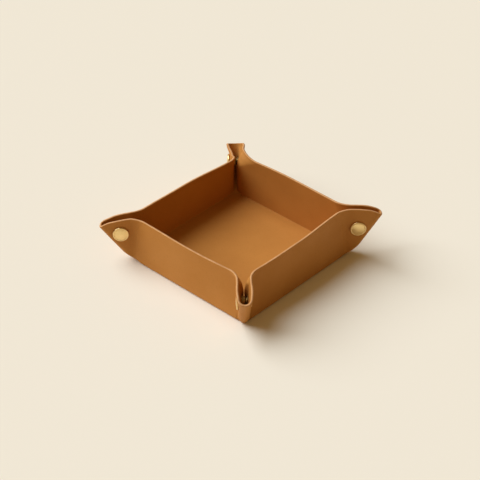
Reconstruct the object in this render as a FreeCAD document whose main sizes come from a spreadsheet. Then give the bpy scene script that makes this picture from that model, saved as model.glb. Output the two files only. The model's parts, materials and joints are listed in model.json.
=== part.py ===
import FreeCAD, Part
import math
import os
import Sketcher

# Snap-corner valet tray: one leather sheet, creased into a bottom, four walls and
# four pinched ears, each ear held shut by a ring snap. Millimetres, +Z up, the
# origin on the table under the middle of the bottom. All leather sizes are taken
# at the middle of its thickness, where a crease keeps its length when it opens.

sizes = [
    ("bottom_side", 120.0, "crease to crease across the bottom"),
    ("wall_rise", 40.0, "crease to rim, up the wall"),
    ("wall_lean", 3.0, "degrees that the snapped corners pull each wall inwards"),
    ("leather", 2.0, "leather thickness"),
    ("fold_play", 0.05, "clearance of a panel's end at a crease"),
    ("ear_gap", 5.2, "clear width between the two layers of an ear"),
    ("ridge_slope", 52.0, "degrees that the lower crease of an ear climbs"),
    ("tip_drop", 6.85, "end of the lower crease of an ear under the rim"),
    ("ridge_start", 5.0, "where the ridge strip starts along that crease"),
    ("tip_slant", 45.0, "degrees that the rim falls at the tip of an ear"),
    ("tip_round", 12.0, "radius between the rim and its falling end"),
    ("snap_out", 6.2, "snap axis outwards from the corner"),
    ("snap_up", 25.2, "snap axis above the bottom crease"),
    ("cap_radius", 6.25, "cap disc"),
    ("cap_rise", 1.4, "cap disc over the leather"),
    ("cap_round", 0.75, "rolled edge of the cap"),
    ("post_radius", 1.9, "hollow post of the cap"),
    ("post_wall", 0.6, "wall of the post"),
    ("flare_radius", 2.6, "flared end of the post inside the socket"),
    ("hole_play", 0.1, "hole in the leather over the post in it, on the radius"),
    ("socket_radius", 4.9, "socket cup"),
    ("socket_rise", 3.2, "socket cup over the leather"),
    ("socket_floor", 0.5, "floor of the socket, under the flare"),
    ("socket_lip", 0.3, "thickness of the lip at the mouth of the socket"),
    ("mouth_radius", 2.55, "mouth of the socket"),
    ("groove_radius", 3.2, "groove of the socket behind the lip"),
    ("spring_wire", 0.3, "radius of the ring spring's wire"),
    ("spring_radius", 2.62, "ring spring at the middle of its wire"),
    ("spring_play", 0.02, "ring spring over the lip"),
    ("stud_radius", 4.4, "foot of the stud"),
    ("stud_foot", 0.5, "thickness of the stud's foot at its rim"),
    ("stud_play", 0.3, "gap between the stud's shoulder and the socket"),
    ("shoulder_radius", 3.2, "shoulder of the stud"),
    ("neck_radius", 1.95, "neck of the stud, inside the ring spring"),
    ("head_radius", 2.2, "head of the stud"),
    ("head_height", 0.9, "height of the stud's head"),
    ("eyelet_radius", 4.0, "outer flange of the stud's eyelet"),
    ("eyelet_rise", 0.5, "thickness of that flange"),
    ("tube_radius", 1.5, "tube of the eyelet"),
    ("tube_wall", 0.45, "wall of that tube"),
    ("tube_play", 0.05, "bore of the stud over the tube, on the radius"),
]

doc = FreeCAD.newDocument("ValetTray")
sheet = doc.addObject("Spreadsheet::Sheet", "Sizes")
for row, (alias, value, note) in enumerate(sizes, start=1):
    sheet.set("A%d" % row, alias)
    sheet.set("B%d" % row, str(value))
    sheet.setAlias("B%d" % row, alias)
    sheet.set("C%d" % row, note)
doc.recompute()

# Lengths that follow from the sizes, as expressions.
half_side = "Sizes.bottom_side / 2"
half_thick = "Sizes.leather / 2"
half_gap = "(Sizes.ear_gap + Sizes.leather) / 2"
end_along_wall = "(%s - sqrt(2) * %s)" % (half_side, half_gap)
rim_height = "Sizes.wall_rise * cos(Sizes.wall_lean)"
rim_inset = "Sizes.wall_rise * sin(Sizes.wall_lean)"
fold_back = "sqrt(2) * tan(Sizes.wall_lean)"
ridge_run = "((%s - Sizes.tip_drop) / sin(Sizes.ridge_slope))" % rim_height

# A panel starts this far from its crease, so that its end clears the panel before
# it from folded to flat. The bends are 90 degrees and the lean, about 45, and 45.
wall_start = "(%s * tan(45 + Sizes.wall_lean / 2) + Sizes.fold_play)" % half_thick
ear_bend = "acos(cos(Sizes.wall_lean) / sqrt(2))"
ear_start = "(%s * sin(%s) + Sizes.fold_play)" % (half_thick, ear_bend)
strip_start = "(%s * sin(45) + Sizes.fold_play)" % half_thick
strip_end = "(sqrt(2) * (%s - Sizes.fold_play) - %s)" % (half_gap, half_thick)

corner_names = ["front_left", "front_right", "back_right", "back_left"]
wall_names = ["front_wall", "right_wall", "back_wall", "left_wall"]
# The snap caps are on the front wall's layer at the two front corners, on the
# right wall's layer at the back right, and on the left wall's at the back left.
cap_sides = [-1, 1, 1, -1]


def draw_outline(sketch, corners):
    """Closed outline through corners, each a pair of expressions."""
    count = len(corners)
    turns = [2 * math.pi * n / count for n in range(count)]
    starts = [FreeCAD.Vector(math.cos(turn), math.sin(turn)) for turn in turns]
    for n in range(count):
        sketch.addGeometry(Part.LineSegment(starts[n], starts[(n + 1) % count]))
    for n in range(count):
        sketch.addConstraint(Sketcher.Constraint("Coincident", n, 2, (n + 1) % count, 1))
    for n, (across, along) in enumerate(corners):
        for kind, place in (("DistanceX", across), ("DistanceY", along)):
            index = sketch.addConstraint(Sketcher.Constraint(kind, -1, 1, n, 1, 1.0))
            sketch.setExpression("Constraints[%d]" % index, place)


def new_body(label, plane, corners):
    """Body with one sketch on one of its origin planes."""
    body = doc.addObject("PartDesign::Body", label)
    body.Label = label
    sketch = body.newObject("Sketcher::SketchObject", label + "_outline")
    base = [item for item in body.Origin.OriginFeatures if item.Role == plane][0]
    sketch.AttachmentSupport = [(base, "")]
    sketch.MapMode = "FlatFace"
    draw_outline(sketch, corners)
    return body, sketch


def panel(label, corners, placement, hole=None):
    """Leather panel: an outline padded to both sides of the middle of the leather."""
    body, sketch = new_body(label, "XY_Plane", corners)
    if hole:
        across, along, radius = hole
        ring = sketch.addGeometry(Part.Circle(FreeCAD.Vector(0, 20), FreeCAD.Vector(0, 0, 1), 2))
        for constraint, value in (
                (Sketcher.Constraint("DistanceX", -1, 1, ring, 3, 1.0), across),
                (Sketcher.Constraint("DistanceY", -1, 1, ring, 3, 1.0), along),
                (Sketcher.Constraint("Radius", ring, 2.0), radius)):
            index = sketch.addConstraint(constraint)
            sketch.setExpression("Constraints[%d]" % index, value)
    pad = body.newObject("PartDesign::Pad", label + "_pad")
    pad.Profile = sketch
    pad.Midplane = True
    pad.setExpression("Length", "Sizes.leather")
    body.setExpression("Placement", placement)
    doc.recompute()
    return body


def turned(label, corners, placement):
    """Turned snap piece: an outline of radius and height, revolved about the snap's axis."""
    body, sketch = new_body(label, "XZ_Plane", corners)
    turn = body.newObject("PartDesign::Revolution", label + "_turn")
    turn.Profile = sketch
    turn.ReferenceAxis = (sketch, ["V_Axis"])
    turn.Angle = 360
    body.setExpression("Placement", placement)
    doc.recompute()
    return body


def round_edges(body, wanted, radius):
    """Fillet the edges of the body's tip that wanted() picks."""
    feature = body.Tip
    names = ["Edge%d" % n for n, edge in enumerate(feature.Shape.Edges, start=1) if wanted(edge)]
    fillet = body.newObject("PartDesign::Fillet", body.Name + "_round")
    fillet.Base = (feature, names)
    fillet.setExpression("Radius", radius)
    doc.recompute()


def quarter_turns(count):
    return "placement(vector(0; 0; 0); vector(0; 0; 1); %d)" % (90 * count)


def wall_frame(count):
    """Frame of a wall: x along its crease, y up the wall, z outwards."""
    return quarter_turns(count) + (
        " * placement(vector(0; -%s; %s); vector(1; 0; 0); 90 - Sizes.wall_lean)"
        % (half_side, half_thick))


def ear_frame(count):
    """Frame of an ear: x outwards along the diagonal, y up, z across the ear."""
    return quarter_turns(count) + (
        " * placement(vector(-%s; -%s; %s); vector(0; 0; 1); 225)"
        " * placement(vector(0; 0; 0); vector(1; 0; 0); 90)"
        % (half_side, half_side, half_thick))


def bottom_panel():
    """Square bottom whose corners run on a little way under the ridges."""
    beak = "(%s + %s * (1 / sin(Sizes.ridge_slope) - 1) / sqrt(2) - Sizes.fold_play)" % (
        half_side, half_gap)
    corners = []
    for across, along in ((1, -1), (1, 1), (-1, 1), (-1, -1)):
        edge = ("%d * %s" % (across, half_side), "%d * %s" % (along, end_along_wall))
        point = ("%d * %s" % (across, beak), "%d * %s" % (along, beak))
        side = ("%d * %s" % (across, end_along_wall), "%d * %s" % (along, half_side))
        corners += [edge, point, side] if across * along > 0 else [side, point, edge]
    panel("bottom_panel", corners, "placement(vector(0; 0; %s); vector(0; 0; 1); 0)" % half_thick)


def wall_panel(count):
    low_half = "(%s - %s * sin(Sizes.wall_lean))" % (end_along_wall, wall_start)
    top_half = "(%s - %s)" % (end_along_wall, rim_inset)
    corners = [("-" + low_half, wall_start), (low_half, wall_start),
               (top_half, "Sizes.wall_rise"), ("-" + top_half, "Sizes.wall_rise")]
    panel(wall_names[count], corners, wall_frame(count))


def ear_layer(count, side, label, hole_radius):
    """One layer of an ear, hinged to its wall along one edge and to its ridge strip below."""
    # The panel starts beside the wall's crease and clear of the bottom.
    shift = "%s * sqrt(1 + sin(Sizes.wall_lean)^2) / cos(Sizes.wall_lean)" % ear_start
    low = "(%s + Sizes.fold_play)" % half_thick
    low_crease = ("(%s - %s - %s * %s)" % (shift, half_gap, low, fold_back), low)
    rim_crease = ("(%s - %s - %s * %s)" % (shift, half_gap, rim_height, fold_back), rim_height)
    end_out = "(%s * cos(Sizes.ridge_slope) - %s)" % (ridge_run, half_gap)
    end_up = "(%s - Sizes.tip_drop)" % rim_height
    rim_end = ("(%s - Sizes.tip_drop / tan(Sizes.tip_slant))" % end_out, rim_height)
    low_ridge = ("(%s / tan(Sizes.ridge_slope) - %s)" % (low, half_gap), low)
    corners = [low_crease, low_ridge, (end_out, end_up), rim_end, rim_crease]
    placement = ear_frame(count) + (
        " * placement(vector(0; 0; %d * %s); vector(0; 0; 1); 0)" % (side, half_gap))
    body = panel(label, corners, placement, ("Sizes.snap_out", "Sizes.snap_up", hole_radius))
    corner = body.Group[0].Geometry[3].StartPoint
    # The round takes no more than the rim's falling end has.
    most = "Sizes.tip_drop / (sin(Sizes.tip_slant) * tan(Sizes.tip_slant / 2))"
    round_edges(body, lambda edge: over_point(edge, corner),
                "min(Sizes.tip_round; %s - Sizes.fold_play)" % most)


def ridge_half(count, side, label):
    """Half of the fold under an ear: a strip that slants from its layer to the ear's middle."""
    corners = [("Sizes.ridge_start", strip_start), (ridge_run, strip_start),
               (ridge_run, strip_end), ("Sizes.ridge_start", strip_end)]
    placement = ear_frame(count) + (
        " * placement(vector(-%s; 0; %d * %s); vector(0; 0; 1); Sizes.ridge_slope)"
        " * placement(vector(0; 0; 0); vector(1; 0; 0); %d)"
        % (half_gap, side, half_gap, 180 + 45 * side))
    panel(label, corners, placement)


def snap(count, side, name):
    """The five pieces of one ring snap, on one axis across the ear."""
    # Heights run along the axis from the middle of the ear towards the cap.
    placement = ear_frame(count) + (
        " * placement(vector(Sizes.snap_out; Sizes.snap_up; 0); vector(0; 1; 0); %d)"
        % (0 if side > 0 else 180))
    inner = "(Sizes.ear_gap / 2)"
    outer = "(Sizes.ear_gap / 2 + Sizes.leather)"
    cap_top = "(%s + Sizes.cap_rise)" % outer
    floor = "(%s - Sizes.socket_floor)" % inner
    bore = "(Sizes.post_radius - Sizes.post_wall)"
    flare = "(%s - Sizes.post_wall)" % floor
    cap = turned(name + "_snap_cap", [
        ("0", outer), (bore, outer), (bore, flare), ("Sizes.flare_radius", flare),
        ("Sizes.flare_radius", floor), ("Sizes.post_radius", floor),
        ("Sizes.post_radius", outer), ("Sizes.cap_radius", outer),
        ("Sizes.cap_radius", cap_top), ("0", cap_top)], placement)
    rim = sheet.get("cap_radius")
    top = sheet.get("ear_gap") / 2 + sheet.get("leather") + sheet.get("cap_rise")
    round_edges(cap, lambda edge: on_circle(edge, rim, top), "Sizes.cap_round")

    mouth = "(%s - Sizes.socket_rise)" % inner
    lip = "(%s + Sizes.socket_lip)" % mouth
    hole = "(Sizes.post_radius + Sizes.hole_play)"
    turned(name + "_snap_socket", [
        (hole, inner), (hole, floor), ("Sizes.groove_radius", floor),
        ("Sizes.groove_radius", lip), ("Sizes.mouth_radius", lip),
        ("Sizes.mouth_radius", mouth), ("Sizes.socket_radius", mouth),
        ("Sizes.socket_radius", inner)], placement)

    spring = doc.addObject("Part::Torus", name + "_snap_spring")
    spring.Label = name + "_snap_spring"
    spring.setExpression("Radius1", "Sizes.spring_radius")
    spring.setExpression("Radius2", "Sizes.spring_wire")
    spring.setExpression("Placement", placement + (
        " * placement(vector(0; 0; %s + Sizes.spring_wire + Sizes.spring_play); vector(0; 0; 1); 0)"
        % lip))

    foot = "(-Sizes.ear_gap / 2)"
    foot_top = "(%s + Sizes.stud_foot)" % foot
    shoulder = "(%s - Sizes.stud_play)" % mouth
    neck_top = "(%s + 2 * Sizes.spring_wire + Sizes.spring_play)" % lip
    head_top = "(%s + Sizes.head_height)" % neck_top
    tube_bore = "(Sizes.tube_radius + Sizes.tube_play)"
    tube_top = "(%s - Sizes.tube_wall - Sizes.tube_play)" % head_top
    turned(name + "_snap_stud", [
        (tube_bore, foot), ("Sizes.stud_radius", foot), ("Sizes.stud_radius", foot_top),
        ("Sizes.shoulder_radius", shoulder), ("Sizes.neck_radius", shoulder),
        ("Sizes.neck_radius", neck_top), ("Sizes.head_radius", neck_top),
        ("Sizes.head_radius", head_top), ("0", head_top),
        ("0", "(%s - Sizes.tube_wall)" % head_top),
        (tube_bore, "(%s - Sizes.tube_wall)" % head_top)], placement)

    back = "(-%s)" % outer
    back_top = "(%s - Sizes.eyelet_rise)" % back
    turned(name + "_snap_eyelet", [
        ("(Sizes.tube_radius - Sizes.tube_wall)", back_top), ("Sizes.eyelet_radius", back_top),
        ("Sizes.eyelet_radius", back), ("Sizes.tube_radius", back),
        ("Sizes.tube_radius", tube_top), ("(Sizes.tube_radius - Sizes.tube_wall)", tube_top)],
        placement)


def over_point(edge, corner):
    """True for the edge of a panel that runs through its thickness at a corner of its outline."""
    middle = edge.CenterOfMass
    return FreeCAD.Vector(middle.x, middle.y, 0).distanceToPoint(corner) < 0.001


def on_circle(edge, radius, height):
    """True for a full circle of that radius at that height on a turned piece's own axis."""
    curve = edge.Curve
    if curve.TypeId != "Part::GeomCircle":
        return False
    return abs(curve.Radius - radius) < 0.001 and abs(curve.Center.z - height) < 0.001


bottom_panel()
for number in range(4):
    wall_panel(number)
for number, corner_name in enumerate(corner_names):
    cap_side = cap_sides[number]
    for side in (-1, 1):
        has_cap = side == cap_side
        kind = "cap_side" if has_cap else "stud_side"
        through = "Sizes.post_radius" if has_cap else "Sizes.tube_radius"
        ear_layer(number, side, "%s_ear_%s" % (corner_name, kind),
                  "%s + Sizes.hole_play" % through)
        ridge_half(number, side, "%s_ridge_%s" % (corner_name, kind))
    snap(number, cap_side, corner_name)
doc.recompute()

# Every object has to be sound before anything is written.
pieces = [item for item in doc.Objects if item.TypeId in ("PartDesign::Body", "Part::Torus")]
faults = []
for item in doc.Objects:
    if "Invalid" in item.State or "Error" in item.State:
        faults.append("%s: %s" % (item.Label, item.State))
for item in pieces:
    if item.Shape.isNull() or not item.Shape.isValid() or len(item.Shape.Solids) != 1:
        faults.append("%s: no single valid solid" % item.Label)
if faults:
    raise RuntimeError("; ".join(faults))

os.makedirs("parts", exist_ok=True)
for item in pieces:
    item.Shape.exportStep(os.path.join("parts", item.Label + ".step"))
print("%d pieces written" % len(pieces))
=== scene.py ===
import json
import math

import bmesh
import bpy
import numpy as np
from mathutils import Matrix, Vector


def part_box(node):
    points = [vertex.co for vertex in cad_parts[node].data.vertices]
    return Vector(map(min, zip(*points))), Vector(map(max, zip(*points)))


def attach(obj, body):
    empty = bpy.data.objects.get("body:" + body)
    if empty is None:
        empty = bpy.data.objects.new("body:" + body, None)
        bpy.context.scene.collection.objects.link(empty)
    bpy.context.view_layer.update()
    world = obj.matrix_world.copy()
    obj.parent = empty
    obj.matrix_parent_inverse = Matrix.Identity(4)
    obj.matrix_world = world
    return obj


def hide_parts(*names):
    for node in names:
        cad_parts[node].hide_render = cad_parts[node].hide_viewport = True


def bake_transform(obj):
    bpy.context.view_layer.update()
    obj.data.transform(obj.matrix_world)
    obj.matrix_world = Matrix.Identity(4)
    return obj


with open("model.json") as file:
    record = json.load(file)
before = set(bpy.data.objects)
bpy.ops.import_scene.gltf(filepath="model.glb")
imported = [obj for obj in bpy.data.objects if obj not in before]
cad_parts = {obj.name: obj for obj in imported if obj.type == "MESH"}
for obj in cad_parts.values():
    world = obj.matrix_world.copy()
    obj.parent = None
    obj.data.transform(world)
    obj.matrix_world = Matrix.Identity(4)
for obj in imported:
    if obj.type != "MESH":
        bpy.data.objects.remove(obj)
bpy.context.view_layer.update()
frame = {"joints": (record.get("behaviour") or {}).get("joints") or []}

mm = 0.001
cornerNames = ["front_left", "front_right", "back_right", "back_left"]
wallNames = ["front_wall", "right_wall", "back_wall", "left_wall"]
jointPlaces = {joint["name"]: joint["pos_m"] for joint in frame["joints"]}
halfSide = -jointPlaces["front_wall_fold"][1] / mm      # centre to the bottom's crease
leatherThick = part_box("bottom_panel")[1].z / mm
halfThick = leatherThick / 2
earFold = jointPlaces["front_left_ear_cap_side_fold"]
earHalfGap = (2 * halfSide + (earFold[0] + earFold[1]) / mm) / math.sqrt(2)    # to a layer's middle

# Lengths below are in millimetres, taken at the middle of the leather. In the frame of a
# corner, out runs away from the tray, across runs over the ear and up starts in the bottom.
trayForm = {
    "wallLean": 3.0,          # degrees
    "rimHeight": 40.0,
    "rimBow": 1.8,            # the rims bulge this much between the ears
    "bowFrom": 0.05,          # from this share of the half wall on
    "bowLimit": 1.2,          # the bulge grows with height up to this many rim heights
    "wave": 0.5,              # hand-made bulge of each half wall
    "waveBack": -0.4,         # and its share at every other corner
    "creaseRadius": 1.4,      # bottom into wall
    "foldBlend": 4.0,         # that crease turns into the fold under the ear this far in and out
    "mouthLow": 1.8,          # wall into ear below the rim
    "mouthOpens": 27.0,       # above this it widens to the corner's mouthHigh
    "pinchFull": -1.8,        # inside this the layers are pinched to the corner's pinchGap
    "pinchFree": 2.2,         # and outside this they aren't
    "pinchEnds": 35.5,        # above this the pinched walls let go of each other
    "leanFrom": 27.0,         # above the snap the layers lean to the gap at the rim
    "leanOut": 5.0,           # in full up to here, and less towards the tip
    "capTop": 28.0,           # up to here, beside the cap, the layers flare only near the tip
    "capClear": 36.0,         # and from here up they flare from the corner's flareFrom on
    "flareBeside": 13.0,      # where they start to flare beside the cap
    "flareShort": 1.0,        # where that flare ends before the tip
    "flareShortHigh": 6.0,    # and where the upper one does
    "floorCorner": -5.5,      # where the bottom piece ends on the diagonal
    "cutRound": 0.5,          # how far a cut edge bulges
}
# The fold under an ear starts at ridgeStart with a crease as round as ridgeCrease, ends at
# tipOut and tipUp, and is as round as foldRound of the gap. Each layer is tipGap, rimGap and
# pinchGap from the ear's middle, at the tip, at the rim and in the pinch. The rim is rimLift
# higher at the corner, falls by rimFall along the ear, and ends in a curve of rimPower.
cornerForms = {
    "front_left": {"tipOut": 21.6, "tipUp": 30.4, "tipGap": 3.0, "flareFrom": 10, "rimGap": 4.2,
                   "rimLift": -1.4, "rimFall": 3.5, "rimPower": 3.0, "mouthHigh": 5.5,
                   "ridgeStart": -0.9, "ridgeCrease": 8.0, "foldRound": 0.78,
                   "pinchGap": 3.5},
    "front_right": {"tipOut": 21.5, "tipUp": 33.0, "tipGap": 4.8, "flareFrom": 2, "rimGap": 5.1,
                    "rimLift": 0.0, "rimFall": 2.0, "rimPower": 3.0, "mouthHigh": 4.5,
                    "ridgeStart": -0.6, "ridgeCrease": 2.0, "foldRound": 1.0,
                    "pinchGap": 1.02},
    "back_right": {"tipOut": 23.8, "tipUp": 36.2, "tipGap": 3.0, "flareFrom": 10, "rimGap": 2.9,
                   "rimLift": 1.8, "rimFall": 0.9, "rimPower": 4.0, "mouthHigh": 5.0,
                   "ridgeStart": 2.0, "ridgeCrease": 9.0, "foldRound": 0.78, "pinchGap": 3.5},
    "back_left": {"tipOut": 20.5, "tipUp": 32.8, "tipGap": 6.0, "flareFrom": 2, "rimGap": 6.2,
                  "rimLift": -0.5, "rimFall": 1.0, "rimPower": 3.0, "mouthHigh": 11.0,
                  "ridgeStart": -1.6, "ridgeCrease": 4.0, "foldRound": 0.9, "pinchGap": 2.0},
}
sideForms = {
    ("back_left", "cap_side"): {"rimGap": 1.4, "rimLift": -6.0, "rimFall": 0.5, "mouthHigh": 4.0},
}
gridCounts = {"wall": 34, "turn": 16, "ear": 28, "crease": 10, "side": 26, "rings": 12, "edge": 8}
capSides = {"front_left": -1, "front_right": 1, "back_right": 1, "back_left": -1}


def sideName(corner, side):
    return "cap_side" if capSides[corner] == side else "stud_side"


def smoothStep(x, low, high):
    t = np.clip((x - low) / (high - low), 0, 1)
    return t * t * (3 - 2 * t)


def unit(vectors):
    vectors = np.asarray(vectors, float)
    return vectors / np.linalg.norm(vectors, axis=-1, keepdims=True)


# Inside both and inside either of two shapes, with the corner between them rounded.
def roundBoth(a, b, radius):
    return np.minimum(-radius, np.maximum(a, b)) + np.hypot(
        np.maximum(a + radius, 0), np.maximum(b + radius, 0))


def roundEither(a, b, radius):
    return np.maximum(radius, np.minimum(a, b)) - np.hypot(
        np.maximum(radius - a, 0), np.maximum(radius - b, 0))


def ridgeSlope(form):
    return math.atan2(form["tipUp"], form["tipOut"] - form["ridgeStart"])


# Distance from the middle of the leather, positive outside the tray.
def leatherDistance(points, form):
    out, across, up = points[..., 0], np.abs(points[..., 1]), points[..., 2]
    lean = math.radians(trayForm["wallLean"])
    mid = np.clip((across - out) / math.sqrt(2) / halfSide, 0, 1)
    high = np.clip(up / trayForm["rimHeight"], 0, trayForm["bowLimit"])
    bulge = trayForm["rimBow"] * smoothStep(mid, trayForm["bowFrom"], 1.0)
    bulge = bulge + form["wave"] * np.sin(math.pi * mid) ** 2
    wall = (out + across) / math.sqrt(2) * math.cos(lean) + up * math.sin(lean) - bulge * high
    aboveCap = smoothStep(up, trayForm["capTop"], trayForm["capClear"])
    flareBeside = smoothStep(out, trayForm["flareBeside"], form["tipOut"] - trayForm["flareShort"])
    flareHigh = smoothStep(out, form["flareFrom"], form["tipOut"] - trayForm["flareShortHigh"])
    flare = flareBeside * (1 - aboveCap) + aboveCap * flareHigh
    part = smoothStep(up, trayForm["leanFrom"], trayForm["rimHeight"]) * (
        1 - smoothStep(out, trayForm["leanOut"], form["tipOut"]))
    gap = earHalfGap + (form["rimGap"] - earHalfGap) * part + (form["tipGap"] - earHalfGap) * flare
    pinch = 1 - smoothStep(out, trayForm["pinchFull"], trayForm["pinchFree"])
    pinch = pinch * (1 - smoothStep(up, trayForm["pinchEnds"], trayForm["rimHeight"]))
    gap = gap - (earHalfGap - form["pinchGap"]) * pinch
    mouth = trayForm["mouthLow"] + (form["mouthHigh"] - trayForm["mouthLow"]) * smoothStep(
        up, trayForm["mouthOpens"], trayForm["rimHeight"])
    around = roundEither(wall, across - gap, mouth)
    slope = ridgeSlope(form)
    ridge = (out - form["ridgeStart"]) * math.sin(slope) - up * math.cos(slope)
    under = roundBoth(ridge, -up, form["ridgeCrease"])
    fold = trayForm["creaseRadius"] + (
        gap * form["foldRound"] - trayForm["creaseRadius"]) * smoothStep(
            out, -trayForm["foldBlend"], trayForm["foldBlend"])
    return roundBoth(around, under, fold)


# Normals of the leather, pointing out of the tray.
def outward(points, form):
    step = 0.01
    normal = np.zeros_like(points)
    for axis in range(3):
        shift = np.zeros(3)
        shift[axis] = step
        normal[..., axis] = leatherDistance(points + shift, form) - leatherDistance(points - shift, form)
    return unit(normal)


# Where lines from inside the tray meet the leather.
def castOut(starts, ways, form):
    longest, halvings = 16.0, 34      # how far each line runs, and how often it is halved
    near = np.zeros(starts.shape[:-1])
    far = np.full(starts.shape[:-1], longest)
    for _ in range(halvings):
        middle = (near + far) / 2
        inside = leatherDistance(starts + ways * middle[..., None], form) < 0
        near = np.where(inside, middle, near)
        far = np.where(inside, far, middle)
    return starts + ways * near[..., None]


# Grid over half a corner: columns from the middle of a wall to the tip of the ear, rows
# from the bottom up to the rim. The last column is the end of the fold under the ear.
def halfCorner(form, farLift):
    wallWay = np.array([-1, 1, 0]) / math.sqrt(2)
    wallOut = np.array([1, 1, 0]) / math.sqrt(2)
    acrossWay = np.array([0.0, 1.0, 0.0])
    down = np.array([0.0, 0.0, -1.0])
    crease = trayForm["creaseRadius"]
    slope = ridgeSlope(form)
    ridgeOut = np.array([math.sin(slope), 0, -math.cos(slope)])
    tip = np.array([form["tipOut"], 0, form["tipUp"]])
    endBase = tip - ridgeOut * form["tipGap"]
    endWidth = 0.5                    # between the fold's end and the rim, at the tip
    endTop = endBase - ridgeOut * endWidth
    lowEnd, highEnd = 7.0, 13.0       # along the wall, where its own columns stop
    startOut = 0.5                    # where the ear's own columns start at the rim
    topInset = 5                      # lines to the rim start this far inside the wall
    liftShare = 0.8                   # share of the half wall over which its rim lifts
    fallFrom = -2                     # where the rim starts to fall towards the tip
    crowding = 1.3                    # the ear's columns crowd towards the tip
    turnShare = 0.35                  # share of the ear in which they turn with the fold
    rim = trayForm["rimHeight"] + form["rimLift"]

    def rimTop(out):
        share = np.clip((out - fallFrom) / (endTop[0] - fallFrom), 0, 1)
        drop = rim - form["rimFall"] - endTop[2]
        return rim - form["rimFall"] * share - drop * share ** form["rimPower"]

    bases, tops, downs, sides = [], [], [], []
    for n in range(gridCounts["wall"] + 1):
        t = n / gridCounts["wall"]
        low = halfSide + (lowEnd - halfSide) * t
        high = halfSide + (highEnd - halfSide) * t
        lift = farLift + (form["rimLift"] - farLift) * smoothStep(1 - high / halfSide, 0, liftShare)
        bases.append(wallWay * low - wallOut * crease + np.array([0, 0, crease]))
        tops.append(wallWay * high - wallOut * topInset
                    + np.array([0, 0, trayForm["rimHeight"] + lift]))
        downs.append(down)
        sides.append(wallOut)
    lastBase, lastTop = bases[-1], tops[-1]
    firstBase = np.array([trayForm["floorCorner"], 0, crease])
    firstTop = np.array([startOut, 0, rimTop(startOut)])
    for n in range(1, gridCounts["turn"] + 1):
        t = n / gridCounts["turn"]
        bases.append(lastBase + (firstBase - lastBase) * t)
        topPoint = lastTop + (firstTop - lastTop) * t
        topPoint[2] = rimTop(topPoint[0])
        tops.append(topPoint)
        downs.append(down)
        sides.append(unit(wallOut + (acrossWay - wallOut) * smoothStep(t, 0, 1)))
    for n in range(1, gridCounts["ear"] + 1):
        t = 1 - (1 - n / gridCounts["ear"]) ** crowding
        bases.append(firstBase + (endBase - firstBase) * t)
        topPoint = firstTop + (endTop - firstTop) * t
        topPoint[2] = rimTop(topPoint[0])
        tops.append(topPoint)
        downs.append(unit(down + (ridgeOut - down) * smoothStep(t, 0.0, turnShare)))
        sides.append(acrossWay)
    bases, tops, downs, sides = map(np.array, (bases, tops, downs, sides))
    rows = []
    for n in range(gridCounts["crease"] + 1):
        angle = math.pi / 2 * n / gridCounts["crease"]
        rows.append(castOut(bases, unit(downs * math.cos(angle) + sides * math.sin(angle)), form))
    for n in range(1, gridCounts["side"] + 1):
        t = n / gridCounts["side"]
        rows.append(castOut(bases + (tops - bases) * t, sides, form))
    return np.stack(rows, axis=1)


# From a corner's own frame to the tray's, in metres, and the same for directions.
def toTray(points, number, side):
    firstCorner = 225      # degrees from +X round to the front left corner
    angle = math.radians(firstCorner + 90 * number)
    outWay = np.array([math.cos(angle), math.sin(angle), 0])
    acrossWay = np.array([math.sin(angle), -math.cos(angle), 0])
    corner = outWay * halfSide * math.sqrt(2)
    placed = (corner + points[..., :1] * outWay + points[..., 1:2] * side * acrossWay
              + points[..., 2:] * np.array([0, 0, 1]) + np.array([0, 0, halfThick]))
    return placed * mm


def turnToTray(vectors, number, side):
    return unit(toTray(vectors, number, side) - toTray(np.zeros(3), number, side))


# How sharply the leather bends at each point of a grid, 1 in the tight creases.
def bendOf(grid, normal):
    tightCurve = 0.4      # radians of turn in a millimetre
    shortest = 0.05       # keeps very short steps from counting as creases
    bend = np.zeros(grid.shape[:2])
    for axis in (0, 1):
        turn = np.linalg.norm(np.diff(normal, axis=axis), axis=-1)
        length = np.linalg.norm(np.diff(grid, axis=axis), axis=-1) + shortest
        curve = turn / length
        if axis == 0:
            bend[1:] = np.maximum(bend[1:], curve)
            bend[:-1] = np.maximum(bend[:-1], curve)
        else:
            bend[:, 1:] = np.maximum(bend[:, 1:], curve)
            bend[:, :-1] = np.maximum(bend[:, :-1], curve)
    return np.clip(bend / tightCurve, 0, 1)


# Directions in which the cut edge faces, along the rim and round the end of the fold.
def cutWays(grid, normal):
    path = np.concatenate([grid[:, -1], grid[-1, -2::-1]])
    across = np.concatenate([normal[:, -1], normal[-1, -2::-1]])
    inward = np.concatenate([grid[:, -2], grid[-2, -2::-1]])
    way = np.cross(np.gradient(path, axis=0), across)
    facing = ((path - inward) * way).sum(-1, keepdims=True)
    way = unit(way * np.sign(facing))
    columns = grid.shape[0]
    return way[:columns], way[columns - 1:][::-1]


grids = {}
for number, name in enumerate(cornerNames):
    for side in (-1, 1):
        form = dict(cornerForms[name])
        form["wave"] = trayForm["wave"] * (1 if number % 2 else trayForm["waveBack"])
        form.update(sideForms.get((name, sideName(name, side)), {}))
        otherCorner = cornerNames[(number + (1 if side < 0 else -1)) % 4]
        other = dict(cornerForms[otherCorner])
        other.update(sideForms.get((otherCorner, sideName(otherCorner, -side)), {}))
        grid = halfCorner(form, (form["rimLift"] + other["rimLift"]) / 2)
        normal = outward(grid, form)
        grids[name, side] = (grid, normal, bendOf(grid, normal)) + cutWays(grid, normal)
print("leather form: %d grids of %s" % (len(grids), grids["front_left", 1][0].shape))


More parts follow.
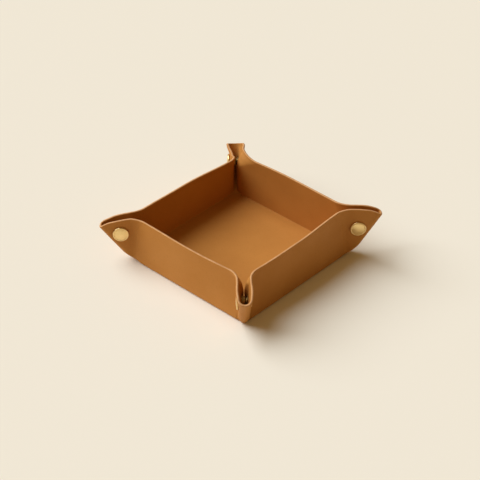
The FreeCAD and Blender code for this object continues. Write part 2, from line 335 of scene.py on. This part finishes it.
# Collects a closed piece of leather: quads with a normal at each corner, face or cut edge.
class LeatherPiece:
    def __init__(self):
        self.points, self.bends, self.quads, self.normals, self.cuts = [], [], [], [], []
        self.count = 0

    def addGrid(self, points, normals, bend, cut):
        rows, columns = points.shape[:2]
        index = self.count + np.arange(rows * columns).reshape(rows, columns)
        self.count += rows * columns
        self.points.append(points.reshape(-1, 3))
        self.bends.append(np.broadcast_to(bend, (rows, columns)).reshape(-1))
        corners = [(slice(None, -1), slice(None, -1)), (slice(1, None), slice(None, -1)),
                   (slice(1, None), slice(1, None)), (slice(None, -1), slice(1, None))]
        quads = np.stack([index[c] for c in corners], axis=-1).reshape(-1, 4)
        ways = np.stack([normals[c] for c in corners], axis=-2).reshape(-1, 4, 3)
        at = np.stack([points[c] for c in corners], axis=-2).reshape(-1, 4, 3)
        facing = np.cross(at[:, 2] - at[:, 0], at[:, 3] - at[:, 1])
        wrong = (facing * ways.mean(1)).sum(-1) < 0
        quads[wrong] = quads[wrong, ::-1]
        ways[wrong] = ways[wrong, ::-1]
        self.quads.append(quads)
        self.normals.append(ways)
        self.cuts.append(np.full(len(quads), cut))

    # A part of a corner's grid, as two faces and the borders that are named.
    def addPart(self, number, side, columns, rows, plain="", cut=""):
        grid, normal, bend, rimWay, endWay = grids[cornerNames[number], side]
        part, partNormal, partBend = grid[columns, rows], normal[columns, rows], bend[columns, rows]
        for way in (1, -1):
            faces = toTray(part + partNormal * halfThick * way, number, side)
            self.addGrid(faces, turnToTray(partNormal * way, number, side), partBend, 0)
        borders = {"left": (0, slice(None)), "right": (-1, slice(None)),
                   "low": (slice(None), 0), "high": (slice(None), -1)}
        inner = {"left": (1, slice(None)), "right": (-2, slice(None)),
                 "low": (slice(None), 1), "high": (slice(None), -2)}
        ways = {"right": endWay[rows], "high": rimWay[columns]}
        for border in plain.split() + cut.split():
            middle, across = part[borders[border]], partNormal[borders[border]]
            edgeBend = partBend[borders[border]]
            if border in cut.split():
                self.addCutEdge(middle, across, ways[border], edgeBend, number, side)
                continue
            away = middle - part[inner[border]]
            away = unit(away - (away * across).sum(-1, keepdims=True) * across)
            strip = np.stack([middle + across * halfThick, middle - across * halfThick])
            self.addGrid(toTray(strip, number, side), turnToTray(np.stack([away, away]), number, side),
                         edgeBend, 0)

    def addCutEdge(self, middle, across, away, bend, number, side):
        rows, rowNormals = [], []
        steps = gridCounts["edge"]
        for n in range(steps + 1):
            angle = math.pi * n / steps
            bulge = trayForm["cutRound"] * math.sin(angle)
            rows.append(middle + across * halfThick * math.cos(angle) + away * bulge)
            rowNormals.append(unit(across * math.cos(angle) + away * math.sin(angle)))
        points = toTray(np.stack(rows), number, side)
        ways = turnToTray(np.stack(rowNormals), number, side)
        # The dyed face wraps the rounded arrises, and only the middle is bare.
        wrap = steps // 4
        for strip, cut in ((slice(0, wrap + 1), 0), (slice(wrap, steps - wrap + 1), 1),
                           (slice(steps - wrap, None), 0)):
            self.addGrid(points[strip], ways[strip], bend, cut)

    def build(self, name):
        points, quads = np.concatenate(self.points), np.concatenate(self.quads)
        normals, cuts = np.concatenate(self.normals), np.concatenate(self.cuts)
        weldStep = 1e-4 * mm
        _, first, weld = np.unique(np.round(points / weldStep), axis=0, return_index=True,
                                   return_inverse=True)
        quads = weld.reshape(-1)[quads]
        faces, loops, kinds = [], [], []
        for quad, ways, cut in zip(quads.tolist(), normals, cuts):
            keep = [n for n in range(4) if quad[n] != quad[n - 1]]
            if len(keep) > 2 and len({quad[n] for n in keep}) == len(keep):
                faces.append([quad[n] for n in keep])
                loops.extend(tuple(ways[n]) for n in keep)
                kinds.append(int(cut))
        mesh = bpy.data.meshes.new(name)
        mesh.from_pydata(points[first].tolist(), [], faces)
        mesh.update()
        bend = mesh.attributes.new("bend", "FLOAT", "POINT")
        bend.data.foreach_set("value", np.concatenate(self.bends)[first].astype(np.float32))
        mesh.polygons.foreach_set("use_smooth", [True] * len(faces))
        mesh.polygons.foreach_set("material_index", kinds)
        mesh.normals_split_custom_set(loops)
        piece = bpy.data.objects.new(name, mesh)
        bpy.context.scene.collection.objects.link(piece)
        return piece


wallEnd = gridCounts["wall"]              # column of the wall's last own line
turnEnd = wallEnd + gridCounts["turn"]    # column where the ear starts at its fold
foldRow = gridCounts["crease"] - 2        # between the fold under an ear and its layer
skirtRow = gridCounts["crease"] + 1       # height that the wall reaches round the corner
wallColumns = slice(0, wallEnd + 1)
turnColumns = slice(wallEnd, turnEnd + 1)
earColumns = slice(turnEnd, None)
lowRows = slice(0, skirtRow + 1)
highRows = slice(skirtRow, None)

bottomForm = {
    "crowding": 0.8,          # spreads the rings between the border and the centre
    "flatten": 6,             # how soon the bottom lies flat inside its border
    "faceDown": -0.02,        # holds the normals of the flat middle straight down
}

pieces = {}
bottom = LeatherPiece()
for number, name in enumerate(cornerNames):
    for side in (-1, 1):
        grid, normal = grids[name, side][:2]
        border, borderNormal = grid[:turnEnd + 1, 0], normal[:turnEnd + 1, 0]
        centre = np.array([-halfSide * math.sqrt(2), 0, 0])
        shares = np.linspace(0, 1, gridCounts["rings"] + 1) ** bottomForm["crowding"]
        rings = border[:, None] + (centre - border)[:, None] * shares[None, :, None]
        fade = (1 - shares) ** bottomForm["flatten"]
        rings[..., 2] = border[:, None, 2] * fade[None, :]
        below = unit(borderNormal[:, None] * fade[None, :, None]
                     + np.array([0, 0, bottomForm["faceDown"]]))
        for way in (1, -1):
            faces = toTray(rings + below * halfThick * way, number, side)
            bottom.addGrid(faces, turnToTray(below * way, number, side), 0.0, 0)
        away = unit(border - rings[:, 1])
        strip = np.stack([border + borderNormal * halfThick, border - borderNormal * halfThick])
        bottom.addGrid(toTray(strip, number, side), turnToTray(np.stack([away, away]), number, side),
                       0.0, 0)
pieces["bottom_leather"] = bottom.build("bottom_leather")
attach(pieces["bottom_leather"], "bottom")
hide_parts("bottom_panel")

for number, name in enumerate(wallNames):
    wall = LeatherPiece()
    for cornerNumber, side in ((number, -1), ((number + 1) % 4, 1)):
        wall.addPart(cornerNumber, side, wallColumns, lowRows, plain="low")
        wall.addPart(cornerNumber, side, wallColumns, highRows, plain="right", cut="high")
        wall.addPart(cornerNumber, side, turnColumns, lowRows, plain="low right high")
    piece = wall.build(name + "_leather")
    pieces[piece.name] = piece
    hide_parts(name)
    # Outward direction of the wall's crease, made level, which nothing below uses.
    outwards = Vector(jointPlaces[name + "_fold"]).normalized()
    outwards.z = 0
    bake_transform(piece)

earBends = {"mouth": 4.5, "crease": 0.6}      # how far each bend starts from its fold
for number, name in enumerate(cornerNames):
    for side in (-1, 1):
        kind = sideName(name, side)
        earBody, ridgeBody = "%s_ear_%s" % (name, kind), "%s_ridge_%s" % (name, kind)
        ear = LeatherPiece()
        ear.addPart(number, side, turnColumns, highRows, plain="left low", cut="high")
        ear.addPart(number, side, earColumns, slice(foldRow, skirtRow + 1), plain="left low", cut="right")
        ear.addPart(number, side, earColumns, highRows, cut="right high")
        ridge = LeatherPiece()
        ridge.addPart(number, side, earColumns, slice(0, foldRow + 1), plain="low left high", cut="right")
        pieces[earBody + "_leather"] = ear.build(earBody + "_leather")
        pieces[ridgeBody + "_leather"] = ridge.build(ridgeBody + "_leather")
        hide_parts(earBody)
        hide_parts(ridgeBody)
        # Start and end points of the ear's mouth, between wall and layer, and of the fold under it,
        # between the layer and the middle of the ear; nothing uses them.
        fold = np.array([-earHalfGap, earHalfGap, 0.0])
        reach = earBends["mouth"]
        lean = math.tan(math.radians(trayForm["wallLean"])) * math.sqrt(2)
        start = fold + np.array([-1, 1, 0]) / math.sqrt(2) * reach
        end = fold + np.array([reach, 0, 0])
        end[2] = lean * (end - start)[0]
        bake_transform(pieces[earBody + "_leather"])
        slope = ridgeSlope(cornerForms[name])
        ridgeOut = np.array([math.sin(slope), 0, -math.cos(slope)])
        start = fold - ridgeOut * earBends["crease"]
        end = fold + ridgeOut * earHalfGap - np.array([0, earHalfGap, 0])
        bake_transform(pieces[ridgeBody + "_leather"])
print("leather pieces: %d" % len(pieces))

# Snaps. Profiles are radius and height in millimetres, heights along the snap's axis from
# the middle of the ear towards the cap.
capLow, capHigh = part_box("front_left_snap_cap")
capMiddle = (capLow + capHigh) / 2
snapUp = capMiddle.z / mm - halfThick
snapOut = -(capMiddle.x + capMiddle.y) / mm / math.sqrt(2) - halfSide * math.sqrt(2)
capRadius = (capHigh.z - capLow.z) / 2 / mm
innerFace, outerFace = earHalfGap - halfThick, earHalfGap + halfThick
snapForm = {"turns": 96, "postRadius": 1.9, "socketRise": 3.2, "weld": 0.005, "sharpAngle": 38}
socketMouth = innerFace - snapForm["socketRise"]


# Points of an arc in a profile, angles in degrees from the radius towards the cap.
def arc(radius, height, size, first, last, count=7):
    angles = [math.radians(first + (last - first) * n / count) for n in range(count + 1)]
    return [(radius + size * math.cos(a), height + size * math.sin(a)) for a in angles]


def turnedPiece(name, number, side, profile):
    turns = snapForm["turns"]
    points, faces = [], []
    for radius, height in profile:
        for n in range(turns):
            angle = 2 * math.pi * n / turns
            local = np.array([snapOut + radius * math.cos(angle), height, snapUp + radius * math.sin(angle)])
            points.append(tuple(toTray(local, number, side)))
    count = len(profile)
    for k in range(count - 1):
        for n in range(turns):
            a, b = k * turns + n, k * turns + (n + 1) % turns
            faces.append([a, b, b + turns, a + turns])
    for k in (0, count - 1):
        faces.append([k * turns + n for n in range(turns)])
    return finishMetal(name, points, faces)


def finishMetal(name, points, faces):
    mesh = bpy.data.meshes.new(name)
    mesh.from_pydata(points, [], faces)
    tool = bmesh.new()
    tool.from_mesh(mesh)
    bmesh.ops.remove_doubles(tool, verts=tool.verts, dist=snapForm["weld"] * mm)
    bmesh.ops.recalc_face_normals(tool, faces=tool.faces)
    tool.to_mesh(mesh)
    tool.free()
    mesh.polygons.foreach_set("use_smooth", [True] * len(mesh.polygons))
    mesh.set_sharp_from_angle(angle=math.radians(snapForm["sharpAngle"]))
    piece = bpy.data.objects.new(name, mesh)
    bpy.context.scene.collection.objects.link(piece)
    return piece


# Domed disc with a rolled edge, and a hollow post that flares over the socket's floor.
capLook = {
    "rise": 2.0, "roll": 0.72, "valley": 0.25, "domeEdge": 0.75, "domeSteps": 8,
    "bore": 1.3, "boreDrop": 0.1, "seat": 0.02,
    "flareRadius": 2.6, "flareThick": 0.5, "flareDrop": 0.2, "flareLift": 0.1, "flareRound": 0.3,
}


def capProfile():
    look = capLook
    post = snapForm["postRadius"]
    top = outerFace + look["rise"]
    roll = look["roll"]
    rollMiddle = capRadius - roll
    edge = rollMiddle - roll * look["domeEdge"]
    domeFoot = outerFace + 2 * roll - look["valley"] * roll
    boreTop = outerFace - look["boreDrop"]
    floor = innerFace - look["flareThick"]
    flareLow = floor - look["flareDrop"]
    profile = [(0, boreTop), (look["bore"], boreTop), (look["bore"], flareLow)]
    profile += arc(look["flareRadius"] - look["flareRound"], flareLow, look["flareRound"], -90, 90, 5)
    profile += [(post, floor + look["flareLift"]), (post, outerFace + look["seat"])]
    profile += arc(rollMiddle, outerFace + roll, roll, -90, 140, 14)
    for n in range(look["domeSteps"] + 1):
        share = n / look["domeSteps"]
        profile.append((edge * (1 - share), domeFoot + (top - domeFoot) * (1 - (1 - share) ** 2)))
    return profile


# Cup with a rounded mouth for the stud, a bore that holds the spring, and a round flange.
socketLook = {
    "floor": 0.5, "play": 0.1,
    "boreTop": 3.15, "boreWide": 3.25, "boreStep": 0.3, "boreLow": 3.2, "seatRise": 0.4,
    "mouth": 2.6, "mouthThick": 0.35, "mouthRound": 0.2, "cup": 3.95, "cupRound": 0.45,
    "neckDrop": 1.0, "neckRoundDrop": 0.95, "neckRound": 0.35,
    "flange": 4.9, "flangeInset": 0.25, "flangeDrop": 0.3, "flangeRound": 0.28, "flangeFace": 0.3,
}


def socketProfile():
    look = socketLook
    hole = snapForm["postRadius"] + look["play"]
    floor = innerFace - look["floor"]
    cup = look["cup"]
    profile = [(hole, innerFace), (hole, floor), (look["boreTop"], floor)]
    profile += [(look["boreWide"], floor - look["boreStep"])]
    profile += [(look["boreLow"], socketMouth + look["seatRise"])]
    profile += [(look["mouth"], socketMouth + look["mouthThick"])]
    lip = look["mouthRound"]
    profile += arc(look["mouth"] + lip, socketMouth + lip, lip, 180, 270, 4)
    profile += arc(cup - look["cupRound"], socketMouth + look["cupRound"], look["cupRound"], -90, 0, 5)
    profile += [(cup, innerFace - look["neckDrop"])]
    profile += arc(cup + look["neckRound"], innerFace - look["neckRoundDrop"], look["neckRound"],
                   180, 90, 5)
    profile += arc(look["flange"] - look["flangeInset"], innerFace - look["flangeDrop"],
                   look["flangeRound"], 80, -80, 6)
    profile += [(look["flange"] - look["flangeFace"], innerFace)]
    return profile


# Button on a wide foot, with a neck behind its head for the spring.
studLook = {
    "hole": 1.55, "foot": 4.4, "footFlat": 0.2, "footRound": 0.25,
    "shoulder": 2.9, "hollowRise": 1.0, "hollowRound": 0.5,
    "shoulderHeight": -1.3, "shoulderRound": 0.35,
    "neck": 1.9, "neckTaper": 0.15, "taperHeight": -0.92, "neckLow": -0.7, "neckHigh": 0.1,
    "head": 2.2, "headInset": 0.4, "headDrop": 0.6, "headRound": 0.42,
    "top": 1.22, "crown": 0.6, "crownEdge": 0.02, "crownRise": 0.04,
}


def studProfile():
    look = studLook
    foot, top = -innerFace, look["top"]
    neck, shoulder = look["neck"], look["shoulder"]
    profile = [(look["hole"], foot), (look["foot"] - look["footFlat"], foot)]
    profile += arc(look["foot"] - look["footRound"], foot + look["footRound"], look["footRound"],
                   -90, 90, 6)
    profile += arc(shoulder + look["hollowRound"], foot + look["hollowRise"], look["hollowRound"],
                   -90, -180, 5)
    profile += arc(shoulder - look["shoulderRound"], look["shoulderHeight"], look["shoulderRound"],
                   0, 90, 5)
    profile += [(neck + look["neckTaper"], look["taperHeight"])]
    profile += [(neck, look["neckLow"]), (neck, look["neckHigh"])]
    profile += arc(look["head"] - look["headInset"], top - look["headDrop"], look["headRound"], -30, 90, 8)
    profile += [(look["crown"], top + look["crownEdge"]), (0, top + look["crownRise"])]
    return profile


# Flange outside the leather, rolled into its bore, and a post through to the stud.
eyeletLook = {
    "flange": 4.0, "rise": 0.8, "bore": 1.05, "boreInset": 0.15, "boreDrop": 0.06,
    "rollOut": 0.35, "rollRound": 0.45, "tube": 1.5, "tubeTop": 0.6,
}


def eyeletProfile():
    look = eyeletLook
    face = -outerFace
    back = face - look["rise"]
    edge = look["rise"] / 2
    boreEnd = face - look["boreDrop"]
    profile = [(0, boreEnd), (look["bore"] - look["boreInset"], boreEnd)]
    profile += arc(look["bore"] + look["rollOut"], back + look["rollRound"], look["rollRound"], 200, 270, 6)
    profile += arc(look["flange"] - edge, face - edge, edge, -90, 90, 8)
    profile += [(look["tube"], face), (look["tube"], look["tubeTop"]), (0, look["tubeTop"])]
    return profile


springLook = {"radius": 2.62, "wire": 0.3, "gap": 28, "seat": 0.3, "play": 0.05, "steps": 72, "around": 12}


def springPiece(name, number, side):
    look = springLook
    height = socketMouth + look["seat"] + look["wire"] + look["play"]
    points, faces = [], []
    steps, around = look["steps"], look["around"]
    gap = math.radians(look["gap"])
    for n in range(steps + 1):
        angle = math.pi / 2 + gap / 2 + (2 * math.pi - gap) * n / steps
        for k in range(around):
            turn = 2 * math.pi * k / around
            radius = look["radius"] + look["wire"] * math.cos(turn)
            local = np.array([snapOut + radius * math.cos(angle),
                              height + look["wire"] * math.sin(turn),
                              snapUp + radius * math.sin(angle)])
            points.append(tuple(toTray(local, number, side)))
    for n in range(steps):
        for k in range(around):
            a, b = n * around + k, n * around + (k + 1) % around
            faces.append([a, b, b + around, a + around])
    faces += [list(range(around)), [steps * around + k for k in range(around)]]
    return finishMetal(name, points, faces)


snapPieces = {}
for number, name in enumerate(cornerNames):
    side = capSides[name]
    capBody, studBody = name + "_ear_cap_side", name + "_ear_stud_side"
    made = [
        ("cap", capBody, turnedPiece(name + "_cap_disc", number, side, capProfile())),
        ("socket", capBody, turnedPiece(name + "_socket_cup", number, side, socketProfile())),
        ("spring", capBody, springPiece(name + "_ring_spring", number, side)),
        ("stud", studBody, turnedPiece(name + "_stud_button", number, side, studProfile())),
        ("eyelet", studBody, turnedPiece(name + "_eyelet_flange", number, side, eyeletProfile())),
    ]
    for kind, body, piece in made:
        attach(piece, body)
        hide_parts("%s_snap_%s" % (name, kind))
        snapPieces[name, kind] = piece
print("snap pieces: %d" % len(snapPieces))


# Helpers for node trees
def addNode(tree, kind, **settings):
    node = tree.nodes.new(kind)
    for key, value in settings.items():
        setattr(node, key, value)
    return node


def newGroup(name, inputs, outputs):
    tree = bpy.data.node_groups.new(name, "ShaderNodeTree")
    for socketName, value in inputs.items():
        socket = tree.interface.new_socket(socketName, in_out="INPUT", socket_type="NodeSocketFloat")
        socket.default_value = value
    for socketName, kind in outputs.items():
        tree.interface.new_socket(socketName, in_out="OUTPUT", socket_type=kind)
    return tree, tree.nodes.new("NodeGroupInput"), tree.nodes.new("NodeGroupOutput")


def remap(tree, value, low, high, toLow, toHigh):
    node = addNode(tree, "ShaderNodeMapRange")
    tree.links.new(value, node.inputs["Value"])
    for key, number in (("From Min", low), ("From Max", high), ("To Min", toLow), ("To Max", toHigh)):
        node.inputs[key].default_value = number
    return node.outputs["Result"]


def combine(tree, operation, a, b):
    node = addNode(tree, "ShaderNodeMath", operation=operation)
    for socket, value in zip(node.inputs, (a, b)):
        if isinstance(value, (int, float)):
            socket.default_value = value
        else:
            tree.links.new(value, socket)
    return node.outputs[0]


def mixColours(tree, share, a, b):
    node = addNode(tree, "ShaderNodeMix", data_type="RGBA")
    for socket, value in ((node.inputs["Factor"], share), (node.inputs[6], a), (node.inputs[7], b)):
        if isinstance(value, (int, float, tuple)):
            socket.default_value = value
        else:
            tree.links.new(value, socket)
    return node.outputs[2]


# Grain of smooth cowhide: small cells with fine creases between them, pores and clouds.
grainLook = {
    "cells": 1500.0, "cellEdge": 0.32, "cellShare": 0.55,
    "fineScale": 0.6, "fineShare": 0.6, "fineDetail": 5, "poreLow": 0.30, "poreHigh": 0.42,
    "clouds": 22.0, "cloudDetail": 4, "cloudRoughness": 0.55, "cloudLow": 0.3, "cloudHigh": 0.7,
}


def buildGrain():
    look = grainLook
    tree, entry, leave = newGroup(
        "hideGrain", {"Cells per metre": look["cells"], "Clouds per metre": look["clouds"]},
        {"Height": "NodeSocketFloat", "Clouds": "NodeSocketFloat", "Pores": "NodeSocketFloat"})
    place = addNode(tree, "ShaderNodeTexCoord").outputs["Object"]
    cells = addNode(tree, "ShaderNodeTexVoronoi", feature="DISTANCE_TO_EDGE")
    tree.links.new(place, cells.inputs["Vector"])
    tree.links.new(entry.outputs["Cells per metre"], cells.inputs["Scale"])
    fine = addNode(tree, "ShaderNodeTexNoise")
    tree.links.new(place, fine.inputs["Vector"])
    fineScale = combine(tree, "MULTIPLY", entry.outputs["Cells per metre"], look["fineScale"])
    tree.links.new(fineScale, fine.inputs["Scale"])
    fine.inputs["Detail"].default_value = look["fineDetail"]
    clouds = addNode(tree, "ShaderNodeTexNoise")
    tree.links.new(place, clouds.inputs["Vector"])
    tree.links.new(entry.outputs["Clouds per metre"], clouds.inputs["Scale"])
    clouds.inputs["Detail"].default_value = look["cloudDetail"]
    clouds.inputs["Roughness"].default_value = look["cloudRoughness"]
    cellHeight = remap(tree, cells.outputs["Distance"], 0.0, look["cellEdge"], 0.0, 1.0)
    height = combine(tree, "MULTIPLY", cellHeight, look["cellShare"])
    fineHeight = combine(tree, "MULTIPLY", fine.outputs["Fac"], look["fineShare"])
    height = combine(tree, "ADD", height, fineHeight)
    tone = remap(tree, clouds.outputs["Fac"], look["cloudLow"], look["cloudHigh"], 0.0, 1.0)
    pores = remap(tree, fine.outputs["Fac"], look["poreLow"], look["poreHigh"], 1.0, 0.0)
    tree.links.new(height, leave.inputs["Height"])
    tree.links.new(tone, leave.inputs["Clouds"])
    tree.links.new(pores, leave.inputs["Pores"])
    return tree


# Fine wear on metal: smudges and hair scratches.
handlingLook = {
    "smudges": 160.0, "smudgeDetail": 4, "smudgeLow": 0.35, "smudgeHigh": 0.65,
    "scratches": 900.0, "scratchDetail": 3, "scratchStretch": 0.08,
}


def buildHandling():
    look = handlingLook
    tree, entry, leave = newGroup(
        "handling", {"Smudges per metre": look["smudges"], "Scratches per metre": look["scratches"]},
        {"Smudge": "NodeSocketFloat", "Height": "NodeSocketFloat"})
    place = addNode(tree, "ShaderNodeTexCoord").outputs["Object"]
    smudge = addNode(tree, "ShaderNodeTexNoise")
    tree.links.new(place, smudge.inputs["Vector"])
    tree.links.new(entry.outputs["Smudges per metre"], smudge.inputs["Scale"])
    smudge.inputs["Detail"].default_value = look["smudgeDetail"]
    stretch = addNode(tree, "ShaderNodeVectorMath", operation="MULTIPLY")
    tree.links.new(place, stretch.inputs[0])
    stretch.inputs[1].default_value = (1.0, 1.0, look["scratchStretch"])
    hair = addNode(tree, "ShaderNodeTexNoise")
    tree.links.new(stretch.outputs[0], hair.inputs["Vector"])
    tree.links.new(entry.outputs["Scratches per metre"], hair.inputs["Scale"])
    hair.inputs["Detail"].default_value = look["scratchDetail"]
    smudges = remap(tree, smudge.outputs["Fac"], look["smudgeLow"], look["smudgeHigh"], 0.0, 1.0)
    tree.links.new(smudges, leave.inputs["Smudge"])
    tree.links.new(hair.outputs["Fac"], leave.inputs["Height"])
    return tree


grainGroup = buildGrain()
handlingGroup = buildHandling()


def newMaterial(name):
    material = bpy.data.materials.new(name)
    material.use_nodes = True
    return material, material.node_tree, material.node_tree.nodes["Principled BSDF"]


def useGroup(tree, group, **values):
    node = addNode(tree, "ShaderNodeGroup", node_tree=group)
    for key, value in values.items():
        node.inputs[key.replace("_", " ")].default_value = value
    return node


def addBump(tree, shader, height, distance, strength):
    bump = addNode(tree, "ShaderNodeBump")
    bump.inputs["Distance"].default_value = distance
    bump.inputs["Strength"].default_value = strength
    tree.links.new(height, bump.inputs["Height"])
    tree.links.new(bump.outputs["Normal"], shader.inputs["Normal"])


# Tan cowhide: waxed face with grain, clouds of tone, and paler where it bends, partly pull-up paleness and
# partly a painted highlight along the creases.
leatherLook = {
    "tan": (0.54, 0.224, 0.046, 1), "deepTan": (0.455, 0.178, 0.032, 1),
    "bentPaleAndHighlight": (0.61, 0.28, 0.06, 1), "poreTan": (0.33, 0.12, 0.018, 1),
    "deepShare": 0.7, "bentHighlightShare": 0.14, "poreShare": 0.25,
    "cells": 1500.0, "clouds": 24.0, "grainDepth": 0.00006, "grainStrength": 0.8,
    "roughLow": 0.48, "roughHigh": 0.66, "specular": 0.15,
}


def leatherMaterial():
    look = leatherLook
    material, tree, shader = newMaterial("tanLeather")
    grain = useGroup(tree, grainGroup, Cells_per_metre=look["cells"], Clouds_per_metre=look["clouds"])
    deep = combine(tree, "MULTIPLY", grain.outputs["Clouds"], look["deepShare"])
    colour = mixColours(tree, deep, look["tan"], look["deepTan"])
    bend = addNode(tree, "ShaderNodeAttribute", attribute_name="bend").outputs["Fac"]
    # Paler tone in the tight bends: partly pull-up paleness, partly a painted highlight on the creases.
    bentHighlight = combine(tree, "MULTIPLY", bend, look["bentHighlightShare"])
    colour = mixColours(tree, bentHighlight, colour, look["bentPaleAndHighlight"])
    pores = combine(tree, "MULTIPLY", grain.outputs["Pores"], look["poreShare"])
    colour = mixColours(tree, pores, colour, look["poreTan"])
    tree.links.new(colour, shader.inputs["Base Color"])
    rough = remap(tree, grain.outputs["Clouds"], 0.0, 1.0, look["roughLow"], look["roughHigh"])
    tree.links.new(rough, shader.inputs["Roughness"])
    shader.inputs["Specular IOR Level"].default_value = look["specular"]
    addBump(tree, shader, grain.outputs["Height"], look["grainDepth"], look["grainStrength"])
    return material


# Cut edge: bare fibres, paler than the face, with a burnished sheen.
edgeLook = {
    "pale": (0.72, 0.39, 0.175, 1), "shade": (0.58, 0.285, 0.11, 1), "roughness": 0.62, "specular": 0.2,
    "cells": 2600.0, "clouds": 180.0, "fibreDepth": 0.0001, "fibreStrength": 0.7,
}


def edgeMaterial():
    look = edgeLook
    material, tree, shader = newMaterial("cutEdge")
    grain = useGroup(tree, grainGroup, Cells_per_metre=look["cells"], Clouds_per_metre=look["clouds"])
    colour = mixColours(tree, grain.outputs["Clouds"], look["pale"], look["shade"])
    tree.links.new(colour, shader.inputs["Base Color"])
    shader.inputs["Roughness"].default_value = look["roughness"]
    shader.inputs["Specular IOR Level"].default_value = look["specular"]
    addBump(tree, shader, grain.outputs["Height"], look["fibreDepth"], look["fibreStrength"])
    return material


metalScratches = {"perMetre": 2200.0, "strength": 0.3}
metalLooks = {
    "satinBrass": {"bright": (0.90, 0.655, 0.30, 1), "dull": (0.83, 0.585, 0.25, 1), "roughLow": 0.28,
                   "roughHigh": 0.36, "smudges": 140.0, "depth": 0.000004},
    # Socket and stud are brass darkened as a painted shade, so that the slot inside the ear reads dark.
    "innerBrassPaintedShade": {"bright": (0.46, 0.30, 0.11, 1), "dull": (0.26, 0.155, 0.05, 1), "roughLow": 0.34,
                   "roughHigh": 0.5, "smudges": 420.0, "depth": 0.00001},
    "springSteel": {"bright": (0.62, 0.60, 0.56, 1), "dull": (0.42, 0.40, 0.37, 1), "roughLow": 0.22,
                    "roughHigh": 0.4, "smudges": 700.0, "depth": 0.000006},
}


def metalMaterial(name):
    look = metalLooks[name]
    material, tree, shader = newMaterial(name)
    wear = useGroup(tree, handlingGroup, Smudges_per_metre=look["smudges"],
                    Scratches_per_metre=metalScratches["perMetre"])
    tree.links.new(mixColours(tree, wear.outputs["Smudge"], look["bright"], look["dull"]),
                   shader.inputs["Base Color"])
    rough = remap(tree, wear.outputs["Smudge"], 0.0, 1.0, look["roughLow"], look["roughHigh"])
    tree.links.new(rough, shader.inputs["Roughness"])
    shader.inputs["Metallic"].default_value = 1.0
    addBump(tree, shader, wear.outputs["Height"], look["depth"], metalScratches["strength"])
    return material


leather, cutEdge = leatherMaterial(), edgeMaterial()
for piece in pieces.values():
    piece.data.materials.append(leather)
    piece.data.materials.append(cutEdge)
metals = {name: metalMaterial(name) for name in metalLooks}
metalOf = {"cap": "satinBrass", "eyelet": "satinBrass", "socket": "innerBrassPaintedShade", "stud": "innerBrassPaintedShade",
           "spring": "springSteel"}
for (name, kind), piece in snapPieces.items():
    piece.data.materials.append(metals[metalOf[kind]])
print("materials: %d" % len(bpy.data.materials))

# Floor, light and camera
stageLook = {"floorColour": (0.88, 0.80, 0.66, 1), "floorSize": 12.0, "floorRoughness": 0.9}
bpy.ops.mesh.primitive_plane_add(size=stageLook["floorSize"], location=(0, 0, 0))
floor = bpy.context.object
floor.name = "floor"
floorPaint, _, floorShader = newMaterial("floorPaint")
floorShader.inputs["Base Color"].default_value = stageLook["floorColour"]
floorShader.inputs["Roughness"].default_value = stageLook["floorRoughness"]
floor.data.materials.append(floorPaint)

lightLook = {"sunFrom": (-0.93, -0.375), "sunHeight": 46.0, "sunStrength": 4.04, "sunAngle": 56.0,
             "sunColour": (0.82, 0.899, 1.0), "skyColour": (1.0, 0.70, 0.30, 1), "skyStrength": 0.235}
world = bpy.data.worlds.new("sky")
bpy.context.scene.world = world
world.use_nodes = True
world.node_tree.nodes["Background"].inputs["Color"].default_value = lightLook["skyColour"]
world.node_tree.nodes["Background"].inputs["Strength"].default_value = lightLook["skyStrength"]
sun = bpy.data.objects.new("sun", bpy.data.lights.new("sun", "SUN"))
bpy.context.scene.collection.objects.link(sun)
sun.data.energy = lightLook["sunStrength"]
sun.data.color = lightLook["sunColour"]
sun.data.angle = math.radians(lightLook["sunAngle"])
flat = Vector(lightLook["sunFrom"]).normalized()
height = math.radians(lightLook["sunHeight"])
towards = Vector((flat.x * math.cos(height), flat.y * math.cos(height), math.sin(height)))
sun.rotation_mode = "QUATERNION"
sun.rotation_quaternion = towards.to_track_quat("Z", "Y")

cameraPlace = {"elevation": 36.5, "azimuth": 42.75, "distance": 1.400, "lookAt": (-0.0129, 0.0145, 0),
               "focalPixels": 1780, "imagePixels": 480, "sensor": 36.0}
azimuth, elevation = math.radians(cameraPlace["azimuth"]), math.radians(cameraPlace["elevation"])
back = Vector((math.sin(azimuth) * math.cos(elevation), -math.cos(azimuth) * math.cos(elevation),
               math.sin(elevation)))
camera = bpy.data.objects.new("camera", bpy.data.cameras.new("camera"))
bpy.context.scene.collection.objects.link(camera)
camera.data.sensor_width = cameraPlace["sensor"]
camera.data.lens = cameraPlace["sensor"] * cameraPlace["focalPixels"] / cameraPlace["imagePixels"]
camera.location = Vector(cameraPlace["lookAt"]) + back * cameraPlace["distance"]
camera.rotation_mode = "QUATERNION"
camera.rotation_quaternion = back.to_track_quat("Z", "Y")
bpy.context.scene.camera = camera
bpy.context.scene.view_settings.view_transform = "Standard"
